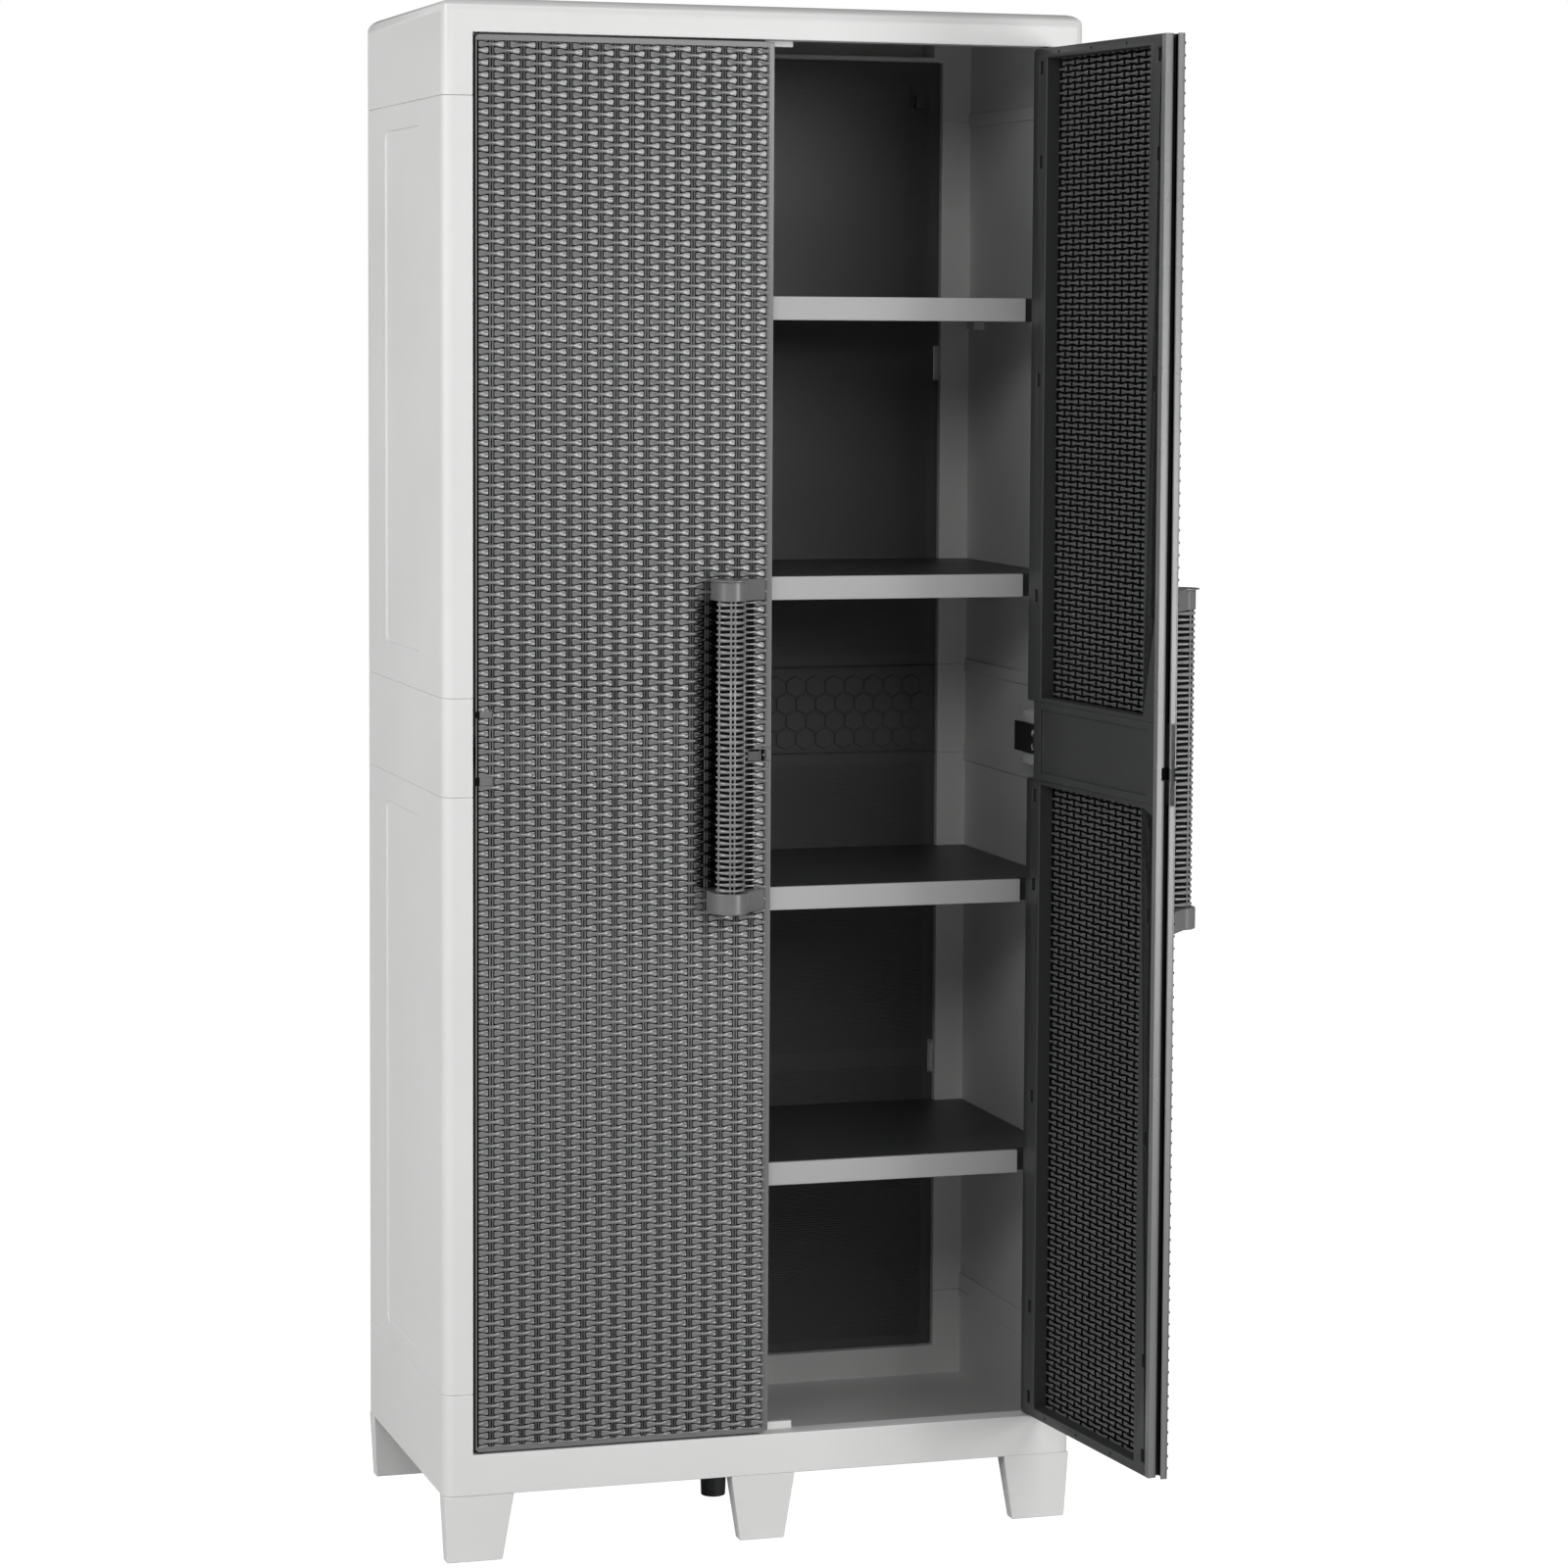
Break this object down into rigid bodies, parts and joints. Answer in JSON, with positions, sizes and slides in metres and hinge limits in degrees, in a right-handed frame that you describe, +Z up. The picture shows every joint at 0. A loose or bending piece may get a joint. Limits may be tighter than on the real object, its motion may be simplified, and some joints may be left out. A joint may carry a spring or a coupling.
{
  "type": "garden storage cabinet",
  "caption": "Tall free-standing outdoor storage cabinet of moulded resin with two hinged woven-pattern doors, ribbed shelves and tapered feet.",
  "frame": {"origin": "centre of the underside of the round centre foot, on the ground", "axes": "+Z up, -Y towards the doors, +X to the right seen from the front"},
  "size_m": [0.8208, 0.7735, 1.82],
  "materials": {
    "light_resin": "fine moulded grain, light grey",
    "trim_resin": "fine moulded grain, mid grey",
    "dark_resin": "satin moulded, anthracite",
    "woven_resin": "moulded basket weave relief, anthracite",
    "black_resin": "satin black",
    "steel": "plain zinc-plated"
  },
  "bodies": {
    "case": {"roof_cap": "light_resin", "upper_left_side": "light_resin", "upper_right_side": "light_resin", "lower_left_side": "light_resin", "lower_right_side": "light_resin", "left_mid_band": "light_resin", "right_mid_band": "light_resin", "base_tray": "light_resin", "front_left_foot": "light_resin", "front_middle_foot": "light_resin", "front_right_foot": "light_resin", "rear_left_foot": "light_resin", "rear_middle_foot": "light_resin", "rear_right_foot": "light_resin", "centre_foot": "dark_resin", "back_panel_top": "dark_resin", "back_panel_upper": "dark_resin", "back_panel_middle": "dark_resin", "back_panel_lower": "dark_resin", "back_panel_bottom": "dark_resin", "shelf_board_1": "dark_resin", "shelf_board_2": "dark_resin", "shelf_board_3": "dark_resin", "shelf_board_4": "dark_resin", "shelf_front_trims": "trim_resin", "shelf_rests": "light_resin", "top_catch": "light_resin", "bottom_catch": "light_resin", "top_hinge_pins": "steel", "bottom_hinge_pins": "steel", "left_middle_hinge_bracket": "black_resin", "right_middle_hinge_bracket": "black_resin", "bracket_screws": "steel", "utility_hooks": "dark_resin"},
    "left_door": {"left_door_upper_skin": "woven_resin", "left_door_lower_skin": "woven_resin", "left_door_middle_section": "woven_resin", "left_door_upper_frame": "dark_resin", "left_door_lower_frame": "dark_resin", "left_door_edge_strip": "dark_resin", "left_door_screws": "steel", "left_padlock_plate": "black_resin", "left_middle_hinge_pin": "steel", "left_handle_top_bracket": "dark_resin", "left_handle_grip": "woven_resin", "left_handle_bottom_bracket": "dark_resin"},
    "right_door": {"right_door_upper_skin": "woven_resin", "right_door_lower_skin": "woven_resin", "right_door_middle_section": "woven_resin", "right_door_upper_frame": "dark_resin", "right_door_lower_frame": "dark_resin", "right_door_edge_strip": "dark_resin", "right_door_screws": "steel", "right_padlock_plate": "black_resin", "right_middle_hinge_pin": "steel", "right_handle_top_bracket": "dark_resin", "right_handle_grip": "woven_resin", "right_handle_bottom_bracket": "dark_resin"}
  },
  "joints": [
    {"name": "left_door_hinge", "type": "hinge", "parent": "case", "child": "left_door", "pos_m": [-0.3445, -0.2115, 0.951], "axis": [0, 0, -1], "range_deg": [0, 98]},
    {"name": "right_door_hinge", "type": "hinge", "parent": "case", "child": "right_door", "pos_m": [0.3445, -0.2115, 0.951], "axis": [0, 0, 1], "range_deg": [-95.5, 2.5]}
  ]
}
